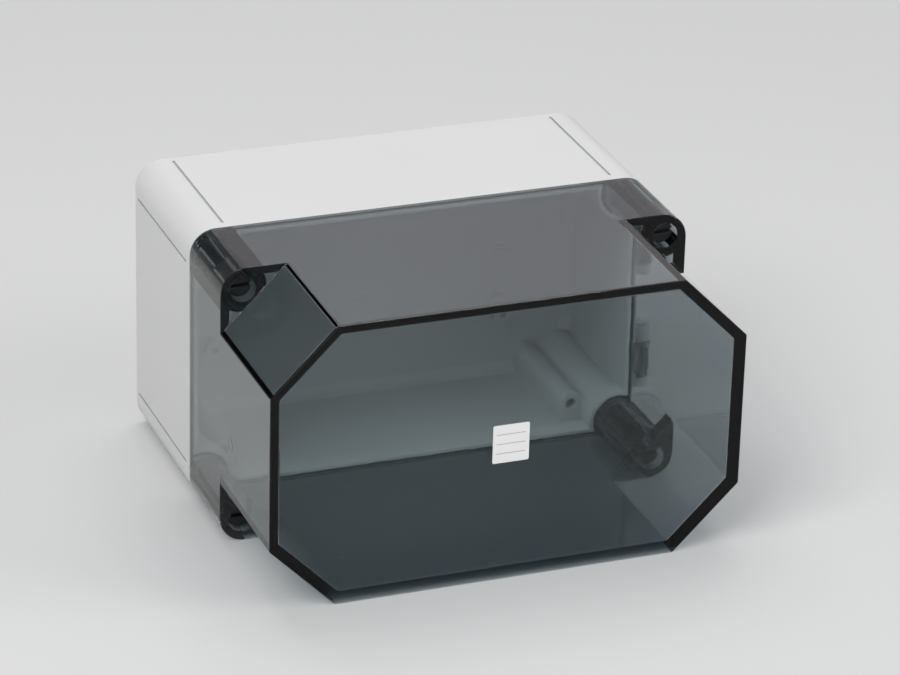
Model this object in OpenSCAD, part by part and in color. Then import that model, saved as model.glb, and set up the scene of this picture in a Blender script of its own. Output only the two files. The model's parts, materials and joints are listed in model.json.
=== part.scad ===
// Wall-mounted circuit enclosure: an opaque moulded base and a deep clear cover on a side hinge.
// The rear wall lies in the XZ plane at Y = 0, the front looks along -Y and Z points up.
// Depths are counted from the rear face towards the front.

/* [Enclosure] */
// Overall width
body_w = 182; // [150:1:240]
// Overall height
body_h = 110; // [95:1:180]
// Depth of the base, from the rear face to the joint
base_d = 70; // [55:1:120]
// Depth of the cover, from the joint to the front face
cover_d = 95; // [70:1:150]
// Radius of the upright corners
corner_r = 10; // [6:0.5:12]
// Radius round the rear edge
rear_edge_r = 1.6; // [0.8:0.1:2.5]

/* [Walls] */
// Side walls of the base
base_wall = 3.2; // [2.6:0.1:3.6]
// Rear wall of the base
rear_wall = 3.5; // [2.6:0.1:5]
// Side walls of the cover
cover_wall = 4; // [3.6:0.1:4.6]
// Front panel of the cover
front_wall = 3.8; // [2.5:0.1:6]
// Inner fillet where the rear wall meets the sides
floor_fillet_r = 4; // [2:0.5:6]

/* [Cover corners] */
// Depth from the joint to the corner ledges
ledge_d = 37.5; // [28:0.5:50]
// Leg of the 45 degree corner cut in front of the ledges
cut = 25; // [21:0.5:30]
// Thickness of each corner ledge
ledge_t = 3; // [2:0.5:5]

/* [Cover screws] */
// Distance of each screw from the two outer faces beside it
screw_inset = 8.5; // [8:0.1:9.5]
// Outer radius of the screw bosses
boss_r = 9.4; // [9:0.1:10.5]
// Radius of the deep screw wells
well_r = 4.9; // [4.8:0.1:5.6]
// Depth of the wells, measured from the ledge
well_d = 15; // [12:0.5:20]
// Radius of a screw head
head_r = 4.55; // [4.2:0.05:4.6]
// Length of a screw head
head_len = 9; // [6:0.5:10]
// Radius of a screw shank
shank_r = 3; // [2.5:0.1:3.3]
// How far the pointed end reaches past the joint
tip_len = 5; // [3:0.5:6]
// Radius at the end of the point
tip_r = 1.6; // [1:0.1:2]
// Width of the driver slot
slot_w = 1.6; // [1:0.1:2.2]
// Depth of the driver slot
slot_d = 2.4; // [1.5:0.1:3]
// Thickness of the captive sealing ring under each head
ring_t = 1.8; // [1.2:0.1:2.5]
// Outer radius of the captive sealing ring
ring_r = 4.7; // [4.4:0.1:4.7]

/* [Screw inserts] */
// Outer radius of an insert
insert_r = 5.6; // [5:0.1:6]
// Length of an insert
insert_len = 11; // [9:0.5:16]
// Radius of the conical mouth at the joint
mouth_r = 4.3; // [4.1:0.1:4.6]
// Radius at the bottom of the conical mouth
throat_r = 2.6; // [2.4:0.1:3]
// Depth of the conical mouth
mouth_d = 7; // [6.5:0.5:8]

/* [Seal] */
// Outer face to the seal channel
seal_inset = 1.8; // [1.6:0.1:2]
// Width of the seal channel
seal_w = 3.2; // [3:0.1:3.6]
// Depth of the seal channel
seal_d = 3.6; // [2.5:0.1:5]
// Thickness of the wall inside the channel
seal_rib = 1.4; // [1.2:0.1:2]
// Depth of the thickened rim that carries the channel
rim_d = 8; // [6:0.5:12]
// Height of the tongue on the cover
tongue_h = 1; // [0.6:0.1:1.2]
// Thickness of the tongue on the cover
tongue_t = 1; // [0.8:0.1:1.2]

/* [Wall fixing] */
// Outer side face to each wall fixing hole
fixing_x = 22; // [21:0.5:34]
// Top or bottom face to each wall fixing hole
fixing_z = 10.5; // [10:0.5:14]
// Radius of the wall fixing holes
fixing_r = 2.1; // [1.6:0.1:2.6]
// Outer radius of the pillar round each fixing hole
pillar_r = 4.7; // [4:0.1:6]
// Depth from the joint to the top of a pillar
pillar_below = 15; // [9:1:30]

/* [Plate bosses] */
// Distance between the plate bosses across the width
plate_x = 116; // [80:1:130]
// Distance between the plate bosses up the height
plate_z = 50; // [36:1:60]
// Outer radius of a plate boss
plate_boss_r = 4; // [3.2:0.1:6]
// Height of a plate boss above the rear wall
plate_boss_h = 5; // [3:0.5:12]
// Radius of the pilot hole in a plate boss
pilot_r = 1.4; // [1:0.1:2]
// Depth of the pilot hole
pilot_d = 6; // [4:0.5:8]

/* [Hinge] */
// Distance of the hinge axis from the side wall
axis_out = 4.5; // [4.5:0.1:6]
// Distance of the hinge axis behind the joint
axis_back = 6; // [5.5:0.1:7]
// Outer radius of the knuckles
knuckle_r = 4; // [3.4:0.1:4]
// Height of each hinge centre above and below the middle
hinge_z = 22; // [19:0.5:24]
// Length of the cover knuckle
eye_len = 12; // [8:0.5:14]
// Length of each base knuckle
lug_len = 6.5; // [4:0.5:8]
// Gap between neighbouring knuckles
knuckle_gap = 0.3; // [0.2:0.05:0.5]
// Length of the arm that carries the knuckle on the cover
arm_d = 3; // [2.5:0.5:6]
// Radius of the hinge pins
pin_r = 1.5; // [1.2:0.1:1.8]
// Radius of a pin head
pin_head_r = 2.6; // [2.2:0.1:3]
// Thickness of a pin head
pin_head_t = 1; // [0.6:0.1:1.5]
// Depth of the bracket leaf along the side wall
leaf_d = 26; // [20:1:36]
// Thickness of the bracket leaf
leaf_t = 4.5; // [4:0.1:5]

/* [Hinge screws] */
// Radius of a hinge screw
hinge_screw_r = 1.5; // [1.2:0.1:1.8]
// Radius of a hinge screw head
hinge_head_r = 2.7; // [2.4:0.1:3]
// Thickness of a hinge screw head
hinge_head_t = 1.6; // [1.2:0.1:2.2]
// How far a hinge screw bites into the side wall
hinge_bite = 2.2; // [1.6:0.1:2.4]
// Distance of a hinge screw from the middle of its bracket
hinge_screw_z = 8; // [6:0.5:9]

/* [Side lines] */
// Outer edge to each fine mould line
line_inset = 14; // [12:0.5:22]
// Width of a mould line
line_w = 1; // [0.4:0.1:1.4]
// Depth of a mould line
line_d = 0.7; // [0.2:0.1:1]
// Distance of the mould lines from the rear face and from the joint
line_end = 4; // [3:0.5:8]

/* [Label] */
// Width of the blank write-on label
label_w = 14; // [8:1:40]
// Height of the blank write-on label
label_h = 15; // [8:1:40]
// Thickness of the label
label_t = 0.2; // [0.1:0.05:0.4]
// Corner radius of the label
label_r = 0.6; // [0.3:0.1:2]

/* [Clearances] */
// Running clearance round a pin or shank
run_gap = 0.06; // [0.03:0.01:0.09]
// Clearance round a piece that is pressed or bonded in
seat_gap = 0.02; // [0.01:0.01:0.05]
// Gap between the tongue and the seal
seal_gap = 0.2; // [0.1:0.05:0.4]
// Clearance round a screw that passes through a bracket
pass_gap = 0.2; // [0.1:0.05:0.4]

/* [Hidden] */
$fn = 64;
eps = 0.01;

total_d = base_d + cover_d;
ledge_at = base_d + ledge_d;
screw_x = body_w / 2 - screw_inset;
screw_z = body_h / 2 - screw_inset;
fix_x = body_w / 2 - fixing_x;
fix_z = body_h / 2 - fixing_z;
rim_inset = seal_inset + seal_w + seal_rib;
shoulder_at = ledge_at - well_d;
head_at = shoulder_at + ring_t + seat_gap;
axis_x = body_w / 2 + axis_out;
axis_at = base_d - axis_back;
wall_gap = axis_out - knuckle_r;
bracket_len = eye_len + 2 * (knuckle_gap + lug_len);
leaf_screw_at = axis_at - knuckle_r - leaf_d / 2;

// ---- shared forms ----

// Raises a flat XZ outline from one depth to another.
module deep(from, to)
    translate([0, -from, 0]) rotate([90, 0, 0]) linear_extrude(to - from) children();

// Round rod along the depth, with one radius at each end.
module rod(from, to, r1, r2)
    translate([0, -from, 0]) rotate([90, 0, 0]) cylinder(h = to - from, r1 = r1, r2 = r2);

// Round rod across the width, between two distances outside the side wall.
module across(from, to, r)
    translate([from, 0, 0]) rotate([0, 90, 0]) cylinder(h = to - from, r = r);

module at_corners(x, z)
    for (sx = [-1, 1], sz = [-1, 1]) translate([sx * x, 0, sz * z]) children();

module at_flat_corners(x, z)
    for (sx = [-1, 1], sz = [-1, 1]) translate([sx * x, sz * z]) scale([sx, sz]) children();

// Rectangle with round corners.
module rounded(w, h, r) difference() {
    square([w, h], center = true);
    at_flat_corners(w / 2 - r, h / 2 - r) difference() {
        square(r + 1);
        circle(r);
    }
}

// Rectangle whose four corners are cut at 45 degrees. The cut faces move in with the sides.
module octagon(inset) {
    x = body_w / 2 - inset;
    z = body_h / 2 - inset;
    leg = cut - inset * (2 - sqrt(2));
    polygon([
        [x, z - leg], [x - leg, z], [leg - x, z], [-x, z - leg],
        [-x, leg - z], [leg - x, -z], [x - leg, -z], [x, leg - z]
    ]);
}

// Room inside the walls, drawn round the four screw bosses. Its faces move in together.
module room(inset, boss) difference() {
    square([body_w - 2 * inset, body_h - 2 * inset], center = true);
    at_flat_corners(screw_x, screw_z) {
        circle(boss);
        square(screw_inset + 1);
    }
}

// Outline that runs parallel to the room of the cover.
module seal_line(inset) room(inset, boss_r + inset - cover_wall);

// Corner of the base block: a quarter turn of the wall, rounded at the rear edge.
module corner_turn() {
    r = rear_edge_r;
    rod(r, base_d, corner_r, corner_r);
    rod(0, r + eps, corner_r - r, corner_r - r);
    translate([0, -r, 0]) rotate([90, 0, 0]) rotate_extrude() translate([corner_r - r, 0]) circle(r);
}

// Straight wall band of the base block with the same rounded rear edge, drawn as depth by height.
module edge_profile(half) {
    r = rear_edge_r;
    translate([-base_d, -half]) square([base_d - r, 2 * half]);
    translate([-base_d, r - half]) square([base_d, 2 * (half - r)]);
    for (s = [-1, 1]) translate([-r, s * (half - r)]) circle(r);
}

module base_block() {
    at_corners(body_w / 2 - corner_r, body_h / 2 - corner_r) corner_turn();
    rotate([90, 0, 90]) linear_extrude(body_w - 2 * corner_r, center = true) edge_profile(body_h / 2);
    linear_extrude(body_h - 2 * corner_r, center = true) rotate(90) edge_profile(body_w / 2);
}

// ---- base ----

// Round-topped pillars with the wall fixing holes, grown from the top and bottom walls.
module fixing_pillars()
    for (sx = [-1, 1], sz = [-1, 1]) scale([1, 1, sz])
        deep(rear_wall - eps, base_d - pillar_below) translate([sx * fix_x, fix_z]) {
            circle(pillar_r);
            translate([-pillar_r, 0]) square([2 * pillar_r, fixing_z - 1]);
        }

// Concave fillets along the foot of the walls. They run between the pillars and between the bosses.
module floor_fillets() {
    along_x = 2 * (fix_x - pillar_r + eps);
    along_z = 2 * (screw_z - boss_r - eps);
    for (s = [-1, 1]) {
        translate([0, -rear_wall, s * (body_h / 2 - base_wall)]) scale([1, 1, s])
            rotate([90, 0, 90]) linear_extrude(along_x, center = true) fillet_profile(floor_fillet_r);
        translate([s * (body_w / 2 - base_wall), -rear_wall, 0]) scale([s, 1, 1])
            linear_extrude(along_z, center = true)
                rotate(90) mirror([0, 1]) fillet_profile(floor_fillet_r);
    }
}

// Shallow arc between two walls, a little flatter than a true quarter round.
module fillet_profile(r) {
    centre = 1.6 * r;
    difference() {
        translate([-r, -r]) square(r + 1);
        translate([-centre, -centre]) circle(norm([centre, centre - r]));
    }
}

module mould_lines() {
    span = base_d - 2 * line_end;
    for (sx = [-1, 1], sz = [-1, 1]) {
        translate([sx * (body_w / 2 - line_inset), -base_d / 2, sz * body_h / 2])
            cube([line_w, span, 2 * line_d], center = true);
        translate([sx * body_w / 2, -base_d / 2, sz * (body_h / 2 - line_inset)])
            cube([2 * line_d, span, line_w], center = true);
    }
}

module base_shell() color("gainsboro") difference() {
    union() {
        difference() {
            base_block();
            deep(rear_wall, base_d - rim_d) room(base_wall, boss_r);
            deep(base_d - rim_d - eps, base_d + 1) seal_line(rim_inset);
        }
        fixing_pillars();
        floor_fillets();
        for (sx = [-1, 1], sz = [-1, 1]) translate([sx * plate_x / 2, 0, sz * plate_z / 2])
            rod(rear_wall - eps, rear_wall + plate_boss_h, plate_boss_r, plate_boss_r);
    }
    deep(base_d - seal_d, base_d + 1) difference() {
        seal_line(seal_inset);
        seal_line(seal_inset + seal_w);
    }
    at_corners(screw_x, screw_z)
        rod(base_d - insert_len - seat_gap, base_d + 1, insert_r + seat_gap, insert_r + seat_gap);
    at_corners(fix_x, fix_z) rod(-1, base_d, fixing_r, fixing_r);
    at_corners(plate_x / 2, plate_z / 2)
        rod(rear_wall + plate_boss_h - pilot_d, rear_wall + plate_boss_h + 1, pilot_r, pilot_r);
    for (e = [-1, 1]) hinge_screw_places(e)
        across(-hinge_bite - seat_gap, 1, hinge_screw_r + seat_gap);
    mould_lines();
}

module base_seal() color("dimgray")
    deep(base_d - seal_d, base_d - tongue_h - seal_gap) difference() {
        seal_line(seal_inset + seat_gap);
        seal_line(seal_inset + seal_w - seat_gap);
    }

// Insert with a conical mouth that guides the screw point.
module screw_insert(sx, sz) color("goldenrod") translate([sx * screw_x, 0, sz * screw_z]) difference() {
    rod(base_d - insert_len, base_d - seat_gap, insert_r, insert_r);
    rod(base_d - mouth_d, base_d, throat_r, mouth_r);
    rod(base_d - insert_len - 1, base_d - mouth_d + eps, throat_r, throat_r);
}

// ---- hinge on the right side wall ----

// Places of the two screws behind one bracket, on the outer face of the side wall.
module hinge_screw_places(end)
    for (s = [-1, 1])
        translate([body_w / 2, -leaf_screw_at, end * hinge_z + s * hinge_screw_z]) children();

module hinge_bracket(end) color("lightgray") difference() {
    union() {
        for (s = [-1, 1]) translate([0, 0, end * hinge_z + s * (bracket_len - lug_len) / 2])
            linear_extrude(lug_len, center = true) knuckle_profile(leaf_t);
        translate([body_w / 2, -(axis_at - knuckle_r - knuckle_gap), end * hinge_z - bracket_len / 2])
            cube([leaf_t, leaf_d - knuckle_r, bracket_len]);
    }
    translate([axis_x, -axis_at, 0]) cylinder(h = body_h, r = pin_r + seat_gap, center = true);
    hinge_screw_places(end) {
        across(-1, leaf_t + 1, hinge_screw_r + pass_gap);
        across(leaf_t - hinge_head_t, leaf_t + 1, hinge_head_r + pass_gap);
    }
}

// Knuckle of the bracket with the web that joins it to the leaf, in XY.
module knuckle_profile(web) {
    translate([axis_x, -axis_at]) circle(knuckle_r);
    translate([body_w / 2, -axis_at]) square([web, knuckle_r + knuckle_gap + eps]);
}

module hinge_pin(end) color("silver") translate([axis_x, -axis_at, end * hinge_z]) {
    cylinder(h = bracket_len, r = pin_r, center = true);
    translate([0, 0, bracket_len / 2]) cylinder(h = pin_head_t, r = pin_head_r);
}

module hinge_bracket_screws() color("silver")
    for (e = [-1, 1]) hinge_screw_places(e) {
        across(-hinge_bite, leaf_t - hinge_head_t + eps, hinge_screw_r);
        across(leaf_t - hinge_head_t, leaf_t, hinge_head_r);
    }

// ---- cover ----

// Knuckle on the cover with its arm, in XY.
module eye_profile() {
    translate([axis_x, -axis_at]) circle(knuckle_r);
    translate([axis_x - knuckle_r, -base_d - arm_d]) square([knuckle_r, axis_back + arm_d]);
    translate([body_w / 2 - 1, -base_d - arm_d]) square([wall_gap + 1 + eps, arm_d]);
}

module cover_outside() {
    deep(base_d, ledge_at) rounded(body_w, body_h, corner_r);
    deep(ledge_at - eps, total_d) octagon(0);
}

module cover_inside() {
    deep(base_d - 1, ledge_at - ledge_t) room(cover_wall, boss_r);
    deep(base_d - 1, total_d - front_wall) intersection() {
        octagon(cover_wall);
        room(cover_wall, boss_r);
    }
}

module cover_shell() color("dimgray", 0.6) difference() {
    union() {
        difference() {
            cover_outside();
            cover_inside();
        }
        deep(base_d - tongue_h, base_d + eps) difference() {
            seal_line(cover_wall - tongue_t);
            seal_line(cover_wall);
        }
        for (e = [-1, 1]) translate([0, 0, e * hinge_z]) linear_extrude(eye_len, center = true) eye_profile();
    }
    at_corners(screw_x, screw_z) {
        rod(shoulder_at, ledge_at + 1, well_r, well_r);
        rod(base_d - 2, shoulder_at + eps, shank_r + run_gap, shank_r + run_gap);
    }
    translate([axis_x, -axis_at, 0]) cylinder(h = body_h, r = pin_r + run_gap, center = true);
}

// Plain label with room to write on, on the middle of the front panel.
module blank_label() color("white") deep(total_d, total_d + label_t) rounded(label_w, label_h, label_r);

// ---- captive quarter-turn screws ----

module cover_screw(sx, sz) color("darkslategray") translate([sx * screw_x, 0, sz * screw_z]) {
    difference() {
        rod(head_at, head_at + head_len, head_r, head_r);
        translate([0, -head_at - head_len, 0]) cube([2 * head_r + 1, 2 * slot_d, slot_w], center = true);
    }
    rod(base_d, head_at + eps, shank_r, shank_r);
    rod(base_d - tip_len, base_d + eps, tip_r, shank_r);
}

module screw_ring(sx, sz) color("black") translate([sx * screw_x, 0, sz * screw_z]) difference() {
    rod(head_at - ring_t, head_at, ring_r, ring_r);
    rod(head_at - ring_t - 1, head_at + 1, shank_r + seat_gap, shank_r + seat_gap);
}

base_shell();
base_seal();
screw_insert(-1, 1);  // screw_insert_upper_left
screw_insert(1, 1);  // screw_insert_upper_right
screw_insert(-1, -1);  // screw_insert_lower_left
screw_insert(1, -1);  // screw_insert_lower_right
hinge_bracket(1);  // hinge_bracket_upper
hinge_bracket(-1);  // hinge_bracket_lower
hinge_pin(1);  // hinge_pin_upper
hinge_pin(-1);  // hinge_pin_lower
hinge_bracket_screws();
cover_shell();
blank_label();
cover_screw(-1, 1);  // cover_screw_upper_left
cover_screw(1, 1);  // cover_screw_upper_right
cover_screw(-1, -1);  // cover_screw_lower_left
cover_screw(1, -1);  // cover_screw_lower_right
screw_ring(-1, 1);  // screw_ring_upper_left
screw_ring(1, 1);  // screw_ring_upper_right
screw_ring(-1, -1);  // screw_ring_lower_left
screw_ring(1, -1);  // screw_ring_lower_right
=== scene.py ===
# %% [markdown]
# A wall-mounted circuit enclosure stands on one long side: an opaque light grey base with a deep
# smoked clear cover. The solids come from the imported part. This script dresses them, lights them
# and frames them. All lengths are in metres, with the rear wall at Y = 0 and the front towards
# -Y.

# %% Load the part
import json
import math

import bmesh
import bpy
from mathutils import Matrix, Vector


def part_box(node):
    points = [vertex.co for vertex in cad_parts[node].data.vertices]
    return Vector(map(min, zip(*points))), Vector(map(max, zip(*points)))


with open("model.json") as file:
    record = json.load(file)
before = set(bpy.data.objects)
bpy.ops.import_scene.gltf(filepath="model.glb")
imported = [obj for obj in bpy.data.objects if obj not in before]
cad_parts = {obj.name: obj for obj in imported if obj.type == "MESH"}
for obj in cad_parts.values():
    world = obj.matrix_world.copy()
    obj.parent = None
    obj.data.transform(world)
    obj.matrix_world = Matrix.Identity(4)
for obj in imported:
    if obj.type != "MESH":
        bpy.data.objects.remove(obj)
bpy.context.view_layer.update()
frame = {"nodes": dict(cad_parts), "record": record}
nodes = frame["nodes"]

# %% [markdown]
# The rest of the script needs a few sizes of the box. They are read from the solids, so they
# follow the part when it changes: the cover gives the front face, and the base gives the joint,
# the sides and the bottom.

# %% Sizes of the enclosure
MM = 0.001
base_low, base_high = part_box("base_shell")
cover_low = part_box("cover_shell")[0]
half_w = base_high.x
half_h = base_high.z
joint_y = base_low.y
front_y = cover_low.y
floor_z = base_low.z
print("joint, front and bottom at", [round(v, 4) for v in (joint_y, front_y, floor_z)])

# %% [markdown]
# A long lens from well back keeps the box's parallel edges nearly parallel. The camera stands at
# a place of its own and looks along an azimuth and an elevation, which puts the box in the middle
# of the frame. A small roll stands for a tripod head that isn't quite level.

# %% Camera
CAMERA_AT = Vector((-0.5116, -1.4206, 0.6696))
AZIMUTH = math.radians(-21.20)
ELEVATION = math.radians(24.88)
ROLL = math.radians(1.61)
LENS_MM = 168.5
SENSOR_MM = 36


def camera_axes(azimuth, elevation, roll):
    """Right, up and backward directions of a camera that looks down on the box."""
    back = Vector((
        math.sin(azimuth) * math.cos(elevation),
        -math.cos(azimuth) * math.cos(elevation),
        math.sin(elevation),
    ))
    right = Vector((0, 0, 1)).cross(back).normalized()
    up = back.cross(right)
    turned_right = right * math.cos(roll) + up * math.sin(roll)
    turned_up = up * math.cos(roll) - right * math.sin(roll)
    return turned_right, turned_up, back


def make_camera():
    data = bpy.data.cameras.new("camera")
    data.sensor_width = SENSOR_MM
    data.lens = LENS_MM
    camera = bpy.data.objects.new("camera", data)
    bpy.context.scene.collection.objects.link(camera)
    right, up, back = camera_axes(AZIMUTH, ELEVATION, ROLL)
    turn = Matrix((right, up, back)).transposed().to_4x4()
    camera.matrix_world = Matrix.Translation(CAMERA_AT) @ turn
    return camera


bpy.context.scene.camera = make_camera()
MIDDLE = Vector((0.0, joint_y, 0.0))
print("camera stands", round((CAMERA_AT - MIDDLE).length, 3), "m from the joint")

# %% [markdown]
# A product table is one sheet of pale board that curves up behind the object, so no horizon line
# crosses it. It could be two planes, but a swept strip with a rounded bend keeps the light even.
# It is stage, not part of the box.

# %% Floor and backdrop


def new_object(name, mesh):
    made = bpy.data.objects.new(name, mesh)
    bpy.context.scene.collection.objects.link(made)
    return made


def sweep_profile(depth, bend, height, steps):
    """Depth and height of the sheet: flat, then a quarter bend, then upright."""
    points = [(-depth, 0.0), (depth - bend, 0.0)]
    for i in range(1, steps + 1):
        turn = math.pi / 2 * i / steps
        points.append((depth - bend + bend * math.sin(turn), bend - bend * math.cos(turn)))
    points.append((depth, height))
    return points


def make_sweep(half_width):
    bm = bmesh.new()
    rows = []
    for y, z in sweep_profile(depth=3.0, bend=1.2, height=3.5, steps=16):
        rows.append([bm.verts.new((x, y, floor_z + z)) for x in (-half_width, half_width)])
    for a, b in zip(rows, rows[1:]):
        bm.faces.new((a[0], a[1], b[1], b[0]))
    mesh = bpy.data.meshes.new("backdrop_sheet")
    bm.to_mesh(mesh)
    bm.free()
    for face in mesh.polygons:
        face.use_smooth = True
    return new_object("backdrop_sheet", mesh)


sheet = make_sweep(half_width=4.0)
print("sheet faces:", len(sheet.data.polygons))

# %% [markdown]
# Materials are built from nodes. A few small helpers keep each one short: one adds a node with
# its inputs set, one joins two sockets, and one starts a material and hands back its Principled
# shader.

# %% Node helpers


def add(tree, kind, **inputs):
    """A new node. Inputs are set by name, with underscores for spaces."""
    node = tree.nodes.new(kind)
    for name, value in inputs.items():
        node.inputs[name.replace("_", " ")].default_value = value
    return node


def join(tree, source, target):
    tree.links.new(source, target)


def maths(tree, operation, first, second=0.0):
    """A Math node on two sockets or numbers. Hands back its output."""
    node = tree.nodes.new("ShaderNodeMath")
    node.operation = operation
    for socket, value in zip(node.inputs, (first, second)):
        if isinstance(value, (int, float)):
            socket.default_value = value
        else:
            join(tree, value, socket)
    return node.outputs[0]


def start_material(name, colour, roughness):
    material = bpy.data.materials.new(name)
    material.use_nodes = True
    tree = material.node_tree
    shader = tree.nodes["Principled BSDF"]
    shader.inputs["Base Color"].default_value = (*colour, 1)
    shader.inputs["Roughness"].default_value = roughness
    return material, tree, shader


def start_group(name, inputs, outputs):
    """A shader node group with named sockets. Hands back its tree, input and output nodes."""
    tree = bpy.data.node_groups.new(name, "ShaderNodeTree")
    for title, kind, value in inputs:
        socket = tree.interface.new_socket(title, in_out="INPUT", socket_type=kind)
        socket.default_value = value
    for title, kind in outputs:
        tree.interface.new_socket(title, in_out="OUTPUT", socket_type=kind)
    return tree, tree.nodes.new("NodeGroupInput"), tree.nodes.new("NodeGroupOutput")


def place_group(tree, group, **inputs):
    node = tree.nodes.new("ShaderNodeGroup")
    node.node_tree = group
    for name, value in inputs.items():
        node.inputs[name.replace("_", " ")].default_value = value
    return node


FLOAT = "NodeSocketFloat"
VECTOR = "NodeSocketVector"
print("helpers ready")

# %% [markdown]
# Moulded plastic is never a single flat value. The steel mould is lightly spark-eroded, which
# prints a fine even grain, and the melt cools a little unevenly, which leaves broad soft changes
# of tone. One group makes both from two noises in object space, so that every plastic piece can
# use it at its own scale.

# %% Mould grain group


def build_mould_grain():
    tree, source, result = start_group(
        "Mould Grain",
        [("Grain Size", FLOAT, 0.0004), ("Tone Size", FLOAT, 0.06), ("Tone Change", FLOAT, 0.02)],
        [("Tone", FLOAT), ("Height", FLOAT), ("Patch", FLOAT)],
    )
    place = tree.nodes.new("ShaderNodeTexCoord")
    grain = add(tree, "ShaderNodeTexNoise", Detail=3.0, Roughness=0.6)
    join(tree, place.outputs["Object"], grain.inputs["Vector"])
    join(tree, maths(tree, "DIVIDE", 1.0, source.outputs["Grain Size"]), grain.inputs["Scale"])
    broad = add(tree, "ShaderNodeTexNoise", Detail=2.0, Roughness=0.5)
    join(tree, place.outputs["Object"], broad.inputs["Vector"])
    join(tree, maths(tree, "DIVIDE", 1.0, source.outputs["Tone Size"]), broad.inputs["Scale"])
    swing = maths(tree, "SUBTRACT", broad.outputs["Fac"], 0.5)
    tone = maths(tree, "ADD", 1.0, maths(tree, "MULTIPLY", swing, source.outputs["Tone Change"]))
    join(tree, tone, result.inputs["Tone"])
    join(tree, grain.outputs["Fac"], result.inputs["Height"])
    join(tree, broad.outputs["Fac"], result.inputs["Patch"])
    return tree


mould_grain = build_mould_grain()
print("group:", mould_grain.name, [s.name for s in mould_grain.interface.items_tree])

# %% [markdown]
# Plastic picks up specks of dust and tiny scuffs. They could be modelled as bumps, but at a tenth
# of a millimetre a mask is enough: the cells of a Voronoi texture give round spots, and a second
# random value per cell keeps only a few of them.

# %% Fine specks group


def build_fine_specks():
    tree, source, result = start_group(
        "Fine Specks",
        [("Spacing", FLOAT, 0.006), ("Speck Size", FLOAT, 0.05), ("Share Kept", FLOAT, 0.2)],
        [("Mask", FLOAT)],
    )
    place = tree.nodes.new("ShaderNodeTexCoord")
    cells = add(tree, "ShaderNodeTexVoronoi", Randomness=1.0)
    join(tree, place.outputs["Object"], cells.inputs["Vector"])
    join(tree, maths(tree, "DIVIDE", 1.0, source.outputs["Spacing"]), cells.inputs["Scale"])
    near = maths(tree, "LESS_THAN", cells.outputs["Distance"], source.outputs["Speck Size"])
    split = tree.nodes.new("ShaderNodeSeparateColor")
    join(tree, cells.outputs["Color"], split.inputs["Color"])
    kept = maths(tree, "LESS_THAN", split.outputs["Red"], source.outputs["Share Kept"])
    join(tree, maths(tree, "MULTIPLY", near, kept), result.inputs["Mask"])
    return tree


fine_specks = build_fine_specks()
print("group:", fine_specks.name)

# %% [markdown]
# An ejector pin pushes a moulding out of its mould and leaves a faint ring where its face met the
# wall. A ring is the set of points at one distance from its centre, so the group measures that
# distance and gives a thin raised line. Each ring on the clear cover is one copy of the group
# with its own centre.

# %% Pin ring group


def build_pin_ring():
    tree, source, result = start_group(
        "Pin Ring",
        [("Centre", VECTOR, (0, 0, 0)), ("Radius", FLOAT, 0.004), ("Line Width", FLOAT, 0.0003)],
        [("Height", FLOAT)],
    )
    place = tree.nodes.new("ShaderNodeTexCoord")
    span = tree.nodes.new("ShaderNodeVectorMath")
    span.operation = "DISTANCE"
    join(tree, place.outputs["Object"], span.inputs[0])
    join(tree, source.outputs["Centre"], span.inputs[1])
    past = maths(tree, "SUBTRACT", span.outputs["Value"], source.outputs["Radius"])
    off = maths(tree, "ABSOLUTE", past)
    slope = maths(tree, "DIVIDE", off, source.outputs["Line Width"])
    rise = tree.nodes.new("ShaderNodeClamp")
    join(tree, maths(tree, "SUBTRACT", 1.0, slope), rise.inputs["Value"])
    join(tree, rise.outputs["Result"], result.inputs["Height"])
    return tree


pin_ring = build_pin_ring()
print("group:", pin_ring.name)

# %% [markdown]
# The base is light grey polycarbonate, opaque and satin. Tone and gloss drift slowly over it, a
# fine grain breaks up the highlights, and a few small specks are a shade darker. The mould lines
# are drawn as thin grey strokes of painted shade, which stands in for the shade inside the
# grooves: a mask on two coordinates marks them. The other opaque plastics are made the same way.

# %% Base plastic
BASE_GREY = (0.615, 0.62, 0.612)
BRACKET_GREY = (0.60, 0.605, 0.60)
SCREW_BLACK = (0.014, 0.014, 0.016)


def tone_colour(tree, shader, colour, tone):
    """Base Color becomes the colour times the tone."""
    scaled = tree.nodes.new("ShaderNodeVectorMath")
    scaled.operation = "SCALE"
    scaled.inputs[0].default_value = colour
    join(tree, tone, scaled.inputs["Scale"])
    join(tree, scaled.outputs["Vector"], shader.inputs["Base Color"])


def raise_bump(tree, shader, height, distance):
    bump = add(tree, "ShaderNodeBump", Distance=distance, Strength=1.0)
    join(tree, height, bump.inputs["Height"])
    join(tree, bump.outputs["Normal"], shader.inputs["Normal"])


def drift_roughness(tree, shader, patch, low, high):
    spread = add(tree, "ShaderNodeMapRange", To_Min=low, To_Max=high)
    join(tree, patch, spread.inputs["Value"])
    join(tree, spread.outputs["Result"], shader.inputs["Roughness"])


LINE_INSET = 14 * MM
LINE_HALF = 0.52 * MM
LINE_END = 4 * MM
SKIN_DEPTH = 0.8 * MM
SPECK_SHADE = 0.2
# Painted shade: how much darker the base colour is drawn in the mould lines, for the groove shade.
PAINTED_SHADE_AMOUNT = 0.28


def near_line(tree, across, line_at, above, skin_at):
    """1 where one coordinate is within the line and the other is at the wall's skin."""
    off = maths(tree, "ABSOLUTE", maths(tree, "SUBTRACT", across, line_at))
    on_line = maths(tree, "LESS_THAN", off, LINE_HALF)
    in_skin = maths(tree, "GREATER_THAN", above, skin_at - SKIN_DEPTH)
    return maths(tree, "MULTIPLY", on_line, in_skin)


# Painted shade: a mask along the mould lines, where the grooves lie in shade.
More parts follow.
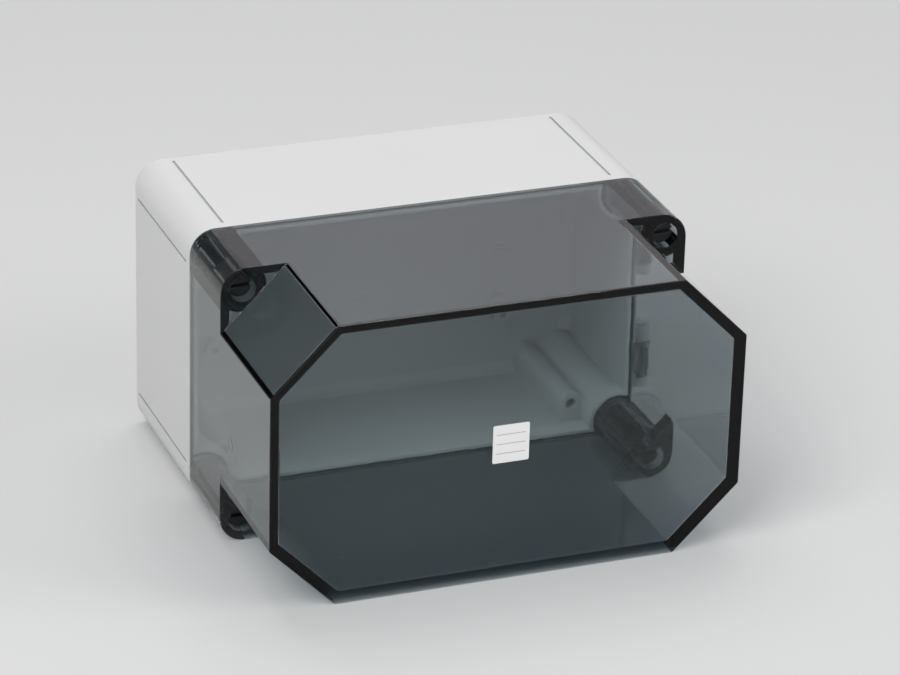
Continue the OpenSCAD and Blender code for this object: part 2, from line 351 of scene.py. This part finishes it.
def painted_groove_shade(tree):
    """1 inside the mould lines of the base, where painted shade darkens them, 0 elsewhere."""
    place = tree.nodes.new("ShaderNodeTexCoord")
    split = tree.nodes.new("ShaderNodeSeparateXYZ")
    join(tree, place.outputs["Object"], split.inputs["Vector"])
    wide = maths(tree, "ABSOLUTE", split.outputs["X"])
    high = maths(tree, "ABSOLUTE", split.outputs["Z"])
    on_flat_sides = near_line(tree, wide, half_w - LINE_INSET, high, half_h)
    on_ends = near_line(tree, high, half_h - LINE_INSET, wide, half_w)
    offset = maths(tree, "SUBTRACT", split.outputs["Y"], joint_y / 2)
    from_middle = maths(tree, "ABSOLUTE", offset)
    along = maths(tree, "LESS_THAN", from_middle, -joint_y / 2 - LINE_END)
    return maths(tree, "MULTIPLY", along, maths(tree, "MAXIMUM", on_flat_sides, on_ends))


def moulded_plastic(name, colour, rough, grain_size, grain_depth, painted_shade=None):
    """Opaque plastic. The grain drives tone, gloss and relief, and painted shade darkens the given
    mask.
    """
    material, tree, shader = start_material(name, colour, rough[0])
    grain = place_group(tree, mould_grain, Grain_Size=grain_size, Tone_Change=0.05)
    specks = place_group(tree, fine_specks, Spacing=0.007, Speck_Size=0.03, Share_Kept=0.12)
    speck_shade = maths(tree, "MULTIPLY", specks.outputs["Mask"], SPECK_SHADE)
    specks_and_painted_shade = maths(tree, "SUBTRACT", 1.0, speck_shade)
    # Painted shade: the mould lines' mask darkens the base colour, besides the darker dust specks.
    if painted_shade:
        specks_and_painted_shade = maths(tree, "SUBTRACT", specks_and_painted_shade, maths(tree, "MULTIPLY", painted_shade(tree), PAINTED_SHADE_AMOUNT))
    tone_colour(tree, shader, colour, maths(tree, "MULTIPLY", grain.outputs["Tone"], specks_and_painted_shade))
    drift_roughness(tree, shader, grain.outputs["Patch"], *rough)
    raise_bump(tree, shader, grain.outputs["Height"], grain_depth)
    return material


base_plastic = moulded_plastic(
    "base_plastic", BASE_GREY, (0.38, 0.5), grain_size=0.0005, grain_depth=0.00002, painted_shade=painted_groove_shade
)
bracket_plastic = moulded_plastic(
    "bracket_plastic", BRACKET_GREY, (0.35, 0.45), grain_size=0.0004, grain_depth=0.00002
)
screw_plastic = moulded_plastic(
    "screw_plastic", SCREW_BLACK, (0.4, 0.5), grain_size=0.0003, grain_depth=0.00002
)
print("opaque plastics:", base_plastic.name, bracket_plastic.name, screw_plastic.name)

# %% [markdown]
# The cover is smoke-grey clear polycarbonate. Real smoked plastic is tinted through its depth, so
# a thick edge looks almost black where a flat wall looks pale. A plain Volume Absorption inside a
# refracting surface does just that. Light Path's shadow ray lets lamps through the walls, dimmed,
# so that the inside isn't dark. Dust specks are rougher than the polish round them, and four
# ejector rings stand a hair proud of the walls.

# %% Smoked clear plastic
WALL_TINT = (0.37, 0.45, 0.475)
TINT_DENSITY = 210.0
LAMP_TINT = (0.64, 0.68, 0.695)
POLISH = 0.035
SCUFF = 0.35
REFRACTION = 1.58
WALL = 4 * MM
RING_RADIUS = 0.0024
RING_LINE = 0.0014
RING_RISE = 1.2
RELIEF = 0.00004
RING_CENTRES = [
    (-0.0600, front_y, 0.0390),
    (-0.0505, -0.1430, half_h),
    (0.0130, -0.1165, half_h),
    (-half_w, -0.1190, -0.0090),
]


def ring_relief(tree):
    """The ejector rings' heights, added up."""
    total = 0.0
    for centre in RING_CENTRES:
        ring = place_group(tree, pin_ring, Centre=centre, Radius=RING_RADIUS, Line_Width=RING_LINE)
        total = maths(tree, "ADD", ring.outputs["Height"], total)
    return total


def smoked_clear_plastic():
    material, tree, shader = start_material("smoked_clear", (1.0, 1.0, 1.0), POLISH)
    shader.inputs["Transmission Weight"].default_value = 1.0
    shader.inputs["IOR"].default_value = REFRACTION
    grain = place_group(tree, mould_grain, Grain_Size=0.02, Tone_Size=0.05, Tone_Change=0.0)
    rings = maths(tree, "MULTIPLY", ring_relief(tree), RING_RISE)
    raise_bump(tree, shader, maths(tree, "ADD", grain.outputs["Height"], rings), RELIEF)
    specks = place_group(tree, fine_specks, Spacing=0.009, Speck_Size=0.03, Share_Kept=0.15)
    dull = add(tree, "ShaderNodeMapRange", To_Min=POLISH, To_Max=SCUFF)
    join(tree, specks.outputs["Mask"], dull.inputs["Value"])
    join(tree, dull.outputs["Result"], shader.inputs["Roughness"])
    output = tree.nodes["Material Output"]
    path = tree.nodes.new("ShaderNodeLightPath")
    open_side = add(tree, "ShaderNodeBsdfTransparent", Color=(*LAMP_TINT, 1))
    choose = tree.nodes.new("ShaderNodeMixShader")
    join(tree, path.outputs["Is Shadow Ray"], choose.inputs[0])
    join(tree, shader.outputs["BSDF"], choose.inputs[1])
    join(tree, open_side.outputs["BSDF"], choose.inputs[2])
    join(tree, choose.outputs["Shader"], output.inputs["Surface"])
    smoke = add(
        tree, "ShaderNodeVolumeAbsorption", Color=(*WALL_TINT, 1), Density=TINT_DENSITY
    )
    join(tree, smoke.outputs["Volume"], output.inputs["Volume"])
    return material


smoked_clear = smoked_clear_plastic()
for channel, tint in zip("RGB", WALL_TINT):
    print(channel, "kept by a 4 mm wall:", round(math.exp(-(1 - tint) * TINT_DENSITY * WALL), 3))

# %% [markdown]
# The seal is foam and the rings are solid rubber. Foam shows many small cells, so its relief is a
# fine Voronoi, while the rings only get the mould grain at a small size.

# %% Seal and rings
FOAM_BLACK = (0.05, 0.05, 0.052)
RUBBER_BLACK = (0.02, 0.02, 0.021)
CELLS_PER_METRE = 2500.0


def foam():
    material, tree, shader = start_material("seal_foam", FOAM_BLACK, 0.9)
    place = tree.nodes.new("ShaderNodeTexCoord")
    cells = add(tree, "ShaderNodeTexVoronoi", Scale=CELLS_PER_METRE)
    join(tree, place.outputs["Object"], cells.inputs["Vector"])
    raise_bump(tree, shader, cells.outputs["Distance"], 0.0001)
    return material


seal_foam = foam()
ring_rubber = moulded_plastic(
    "ring_rubber", RUBBER_BLACK, (0.5, 0.62), grain_size=0.0002, grain_depth=0.00001
)
print("soft pieces:", seal_foam.name, ring_rubber.name)

# %% [markdown]
# Turned metal carries fine rings from the lathe. Stretched noise gives the same broken lines on
# any axis without an image, so brass and steel share one group and differ in colour and
# roughness.

# %% Turned metal
BRASS = (0.72, 0.53, 0.26)
STEEL = (0.62, 0.63, 0.64)
TONE_FLOOR = 0.92
TONE_SWING = 0.16


def build_tool_marks():
    tree, source, result = start_group(
        "Tool Marks", [("Line Size", FLOAT, 0.0002)], [("Height", FLOAT), ("Tone", FLOAT)]
    )
    place = tree.nodes.new("ShaderNodeTexCoord")
    stretch = tree.nodes.new("ShaderNodeVectorMath")
    stretch.operation = "MULTIPLY"
    stretch.inputs[1].default_value = (0.08, 1.0, 0.9)
    join(tree, place.outputs["Object"], stretch.inputs[0])
    lines = add(tree, "ShaderNodeTexNoise", Detail=4.0)
    join(tree, stretch.outputs["Vector"], lines.inputs["Vector"])
    join(tree, maths(tree, "DIVIDE", 1.0, source.outputs["Line Size"]), lines.inputs["Scale"])
    join(tree, lines.outputs["Fac"], result.inputs["Height"])
    swing = maths(tree, "MULTIPLY", lines.outputs["Fac"], TONE_SWING)
    join(tree, maths(tree, "ADD", TONE_FLOOR, swing), result.inputs["Tone"])
    return tree


tool_marks = build_tool_marks()


def turned_metal(name, colour, roughness):
    material, tree, shader = start_material(name, colour, roughness)
    shader.inputs["Metallic"].default_value = 1.0
    marks = place_group(tree, tool_marks, Line_Size=0.0002)
    tone_colour(tree, shader, colour, marks.outputs["Tone"])
    raise_bump(tree, shader, marks.outputs["Height"], 0.00001)
    return material


insert_brass = turned_metal("insert_brass", BRASS, 0.3)
pin_steel = turned_metal("pin_steel", STEEL, 0.28)
print("metals:", insert_brass.name, pin_steel.name)

# %% [markdown]
# The small label on the front is blank: matt white film with three thin grey rules to write on.
# The rules are drawn by height in the label's own space, so they stay level and evenly spaced,
# and paper fibre adds a faint tone.

# %% Blank label
LABEL_WHITE = (0.86, 0.86, 0.85)
RULES = 3
RULE_HALF = 0.04
RULE_REACH = 0.4
INK = 0.5
label_low, label_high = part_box("blank_label")


def ruled_film():
    material, tree, shader = start_material("label_film", LABEL_WHITE, 0.55)
    place = tree.nodes.new("ShaderNodeTexCoord")
    split = tree.nodes.new("ShaderNodeSeparateXYZ")
    join(tree, place.outputs["Object"], split.inputs["Vector"])
    pitch = (label_high.z - label_low.z) / (RULES + 1)
    above_edge = maths(tree, "SUBTRACT", split.outputs["Z"], label_low.z)
    steps = maths(tree, "DIVIDE", above_edge, pitch)
    off_line = maths(tree, "ABSOLUTE", maths(tree, "SUBTRACT", steps, maths(tree, "ROUND", steps)))
    rule = maths(tree, "LESS_THAN", off_line, RULE_HALF)
    reach = (label_high.x - label_low.x) * RULE_REACH
    inside = maths(tree, "LESS_THAN", maths(tree, "ABSOLUTE", split.outputs["X"]), reach)
    past_first = maths(tree, "GREATER_THAN", steps, 0.5)
    before_last = maths(tree, "LESS_THAN", steps, RULES + 0.5)
    on_rows = maths(tree, "MULTIPLY", past_first, before_last)
    mask = maths(tree, "MULTIPLY", maths(tree, "MULTIPLY", rule, inside), on_rows)
    fibre = place_group(tree, mould_grain, Grain_Size=0.0002, Tone_Size=0.003, Tone_Change=0.06)
    ink = maths(tree, "SUBTRACT", 1.0, maths(tree, "MULTIPLY", mask, INK))
    tone_colour(tree, shader, LABEL_WHITE, maths(tree, "MULTIPLY", ink, fibre.outputs["Tone"]))
    raise_bump(tree, shader, fibre.outputs["Height"], 0.00001)
    return material


label_film = ruled_film()
print("label is", round((label_high.x - label_low.x) / MM, 1), "mm wide")

# %% [markdown]
# Each solid takes the finish of its slot in the record. Small bevels matter as much as the
# finish: a moulded edge has a radius of a few tenths of a millimetre and that is where highlights
# run. The faces of an imported solid aren't joined to each other, and a bevel only works on
# joined ones. So a Weld modifier joins them, a Decimate modifier merges the triangles of flat
# faces, and a Bevel modifier by angle rounds the sharp edges. The modifiers leave the solid
# itself as it is.

# %% Dress the solids
FINISH = {
    "base_plastic": base_plastic,
    "smoked_clear": smoked_clear,
    "seal_foam": seal_foam,
    "insert_brass": insert_brass,
    "bracket_plastic": bracket_plastic,
    "pin_steel": pin_steel,
    "label_film": label_film,
    "screw_plastic": screw_plastic,
    "ring_rubber": ring_rubber,
}
EDGE_MM = {
    "base_plastic": 0.12,
    "smoked_clear": 0.35,
    "seal_foam": 0.3,
    "bracket_plastic": 0.3,
    "screw_plastic": 0.25,
    "pin_steel": 0.12,
    "insert_brass": 0.12,
}


WELD_GAP = 0.002 * MM
FLAT_WITHIN = math.radians(0.5)
SHARP_OVER = math.radians(40)


def soften_edges(piece, width):
    """Join the faces, merge flat triangles, round the sharp edges and even out the shading."""
    weld = piece.modifiers.new("join_faces", "WELD")
    weld.merge_threshold = WELD_GAP
    merge = piece.modifiers.new("merge_flats", "DECIMATE")
    merge.decimate_type = "DISSOLVE"
    merge.angle_limit = FLAT_WITHIN
    bevel = piece.modifiers.new("round_edges", "BEVEL")
    bevel.width = width
    bevel.segments = 2
    bevel.limit_method = "ANGLE"
    bevel.angle_limit = SHARP_OVER
    bevel.use_clamp_overlap = False
    even = piece.modifiers.new("even_shading", "WEIGHTED_NORMAL")
    even.keep_sharp = True


def dress(piece, slot_name):
    piece.data.materials.clear()
    piece.data.materials.append(FINISH[slot_name])
    if slot_name in EDGE_MM:
        soften_edges(piece, EDGE_MM[slot_name] * MM)


for entry in frame["record"]["subparts"]:
    dress(nodes[entry["node"]], entry["material_slot"])

# %% [markdown]
# The studio has one big soft box high on the left, a weaker one on the right, one overhead and a
# faint one behind, which lies as a soft sheen on the top of the cover. The pale surroundings show
# to the camera and in reflections, while the world's own light on the box stays low.

# %% Lights and world


def soft_box(name, place, size, watts, colour=(1, 1, 1)):
    """A rectangular lamp that faces the box and doesn't show to the camera."""
    data = bpy.data.lights.new(name, "AREA")
    data.shape = "RECTANGLE"
    data.size, data.size_y = size
    data.energy = watts
    data.color = colour
    lamp = bpy.data.objects.new(name, data)
    bpy.context.scene.collection.objects.link(lamp)
    lamp.location = place
    aim = MIDDLE - Vector(place)
    lamp.rotation_mode = "QUATERNION"
    lamp.rotation_quaternion = aim.to_track_quat("-Z", "Y")
    lamp.visible_camera = False


soft_box("key_box", place=(-1.15, -0.9, 1.5), size=(1.2, 1.2), watts=26)
soft_box("fill_box", place=(1.5, -1.0, 0.8), size=(1.0, 1.2), watts=13)
soft_box("top_box", place=(0.1, 0.5, 1.8), size=(1.4, 1.0), watts=12)
soft_box("back_box", (0.75, 1.75, 0.85), size=(1.2, 0.8), watts=1.2, colour=(1.0, 0.92, 1.0))
WORLD_GREY = (0.86, 0.87, 0.88)
WORLD_LIGHT = 0.45
BOARD_GREY = (0.60, 0.60, 0.60)


def pale_world():
    world = bpy.data.worlds.new("studio")
    world.use_nodes = True
    tree = world.node_tree
    back = tree.nodes["Background"]
    back.inputs["Color"].default_value = (*WORLD_GREY, 1)
    back.inputs["Strength"].default_value = WORLD_LIGHT
    bpy.context.scene.world = world


def board_material():
    """Matt board. Without a gloss of its own it doesn't mirror the cloth that lies on it."""
    material, tree, shader = start_material("pale_board", BOARD_GREY, 0.55)
    shader.inputs["Specular IOR Level"].default_value = 0.0
    grain = place_group(tree, mould_grain, Grain_Size=0.002, Tone_Size=0.5, Tone_Change=0.03)
    tone_colour(tree, shader, BOARD_GREY, grain.outputs["Tone"])
    return material


pale_world()
sheet.data.materials.append(board_material())
bpy.context.scene.view_settings.view_transform = "Standard"

# %% [markdown]
# Glossy plastic mirrors what stands round it. Where a pale wall or board would lay glare over the
# plastic, a studio hangs a dark cloth: a black one that the sloped corner mirrors, and a grey one
# on the board in front. The grey one is so wide that, seen from an ordinary height, the front
# doesn't mirror its far edges. Cloths only show in reflections, so that they never stand behind
# the box in another view.

# %% Dark cloths


def hang_cloth(name, place, facing, size, grey):
    """A square dark cloth that shows only in glossy reflections."""
    bm = bmesh.new()
    bmesh.ops.create_grid(bm, x_segments=1, y_segments=1, size=size / 2)
    mesh = bpy.data.meshes.new(name)
    bm.to_mesh(mesh)
    bm.free()
    cloth = new_object(name, mesh)
    cloth.location = place
    cloth.rotation_mode = "QUATERNION"
    cloth.rotation_quaternion = facing.to_track_quat("Z", "Y")
    cloth.visible_camera = False
    cloth.visible_diffuse = False
    cloth.visible_transmission = False
    cloth.visible_shadow = False
    cloth.data.materials.append(start_material(name, (grey, grey, grey), 0.95)[0])
    return cloth


CLOTH_AWAY = 1.3
TO_CORNER = Vector((-0.42, 0.85, 0.33)).normalized()
corner_cloth = hang_cloth(
    "corner_cloth", MIDDLE + CLOTH_AWAY * TO_CORNER, facing=TO_CORNER, size=0.5, grey=0.01
)
FLOOR_CLOTH = 1.8
in_front = Vector((0, front_y - FLOOR_CLOTH / 2, floor_z + 0.002))
floor_cloth = hang_cloth(
    "floor_cloth", in_front, facing=Vector((0, 0, 1)), size=FLOOR_CLOTH, grey=0.18
)
print("cloths hang at", [[round(v, 2) for v in o.location] for o in (corner_cloth, floor_cloth)])
